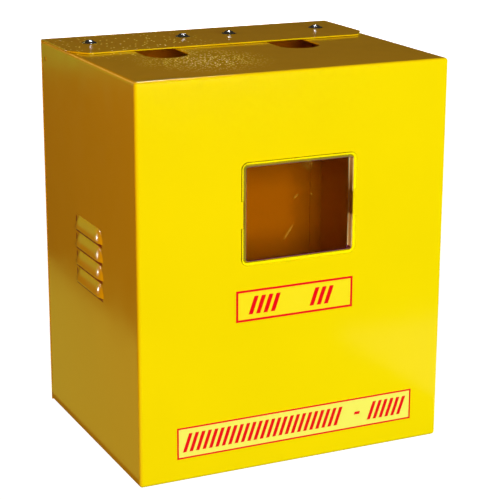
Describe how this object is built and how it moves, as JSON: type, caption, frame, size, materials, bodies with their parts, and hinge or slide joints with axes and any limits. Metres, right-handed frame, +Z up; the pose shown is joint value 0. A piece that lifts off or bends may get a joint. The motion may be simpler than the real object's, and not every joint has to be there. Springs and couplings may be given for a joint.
{
  "type": "gas meter cabinet",
  "caption": "Painted sheet-steel cabinet for a top-connected gas meter: slide-off cover with pipe notches, clear window and side louvres, screwed under the back panel's top strip.",
  "frame": {"origin": "centre of the overall box's footprint, on the surface that the cabinet stands on", "axes": "+Z up, -Y out of the front face with the window, +X to the right seen from the front"},
  "size_m": [0.256, 0.2014, 0.3042],
  "materials": {
    "yellow_paint": "gloss",
    "zinc": "bright",
    "clear_plastic": "clear",
    "label_film": "printed"
  },
  "bodies": {
    "back": {"back_panel": "yellow_paint", "nut_bar": "zinc"},
    "screw_1": {"screw_1": "zinc"},
    "screw_2": {"screw_2": "zinc"},
    "screw_3": {"screw_3": "zinc"},
    "screw_4": {"screw_4": "zinc"},
    "cover": {"front_cover": "yellow_paint", "window_pane": "clear_plastic", "upper_label": "label_film", "lower_label": "label_film"}
  },
  "joints": [
    {"name": "cover_slide", "type": "slide", "parent": "back", "child": "cover", "axis": [0, -1, 0], "range_m": [0, 0.21]},
    {"name": "screw_1_turn", "type": "hinge", "parent": "back", "child": "screw_1", "pos_m": [-0.098, 0.06375, 0.3], "axis": [0, 0, 1], "range_deg": [0, 1080]},
    {"name": "screw_2_turn", "type": "hinge", "parent": "back", "child": "screw_2", "pos_m": [-0.02, 0.06375, 0.3], "axis": [0, 0, 1], "range_deg": [0, 1080]},
    {"name": "screw_3_turn", "type": "hinge", "parent": "back", "child": "screw_3", "pos_m": [0.02, 0.06375, 0.3], "axis": [0, 0, 1], "range_deg": [0, 1080]},
    {"name": "screw_4_turn", "type": "hinge", "parent": "back", "child": "screw_4", "pos_m": [0.098, 0.06375, 0.3], "axis": [0, 0, 1], "range_deg": [0, 1080]}
  ]
}
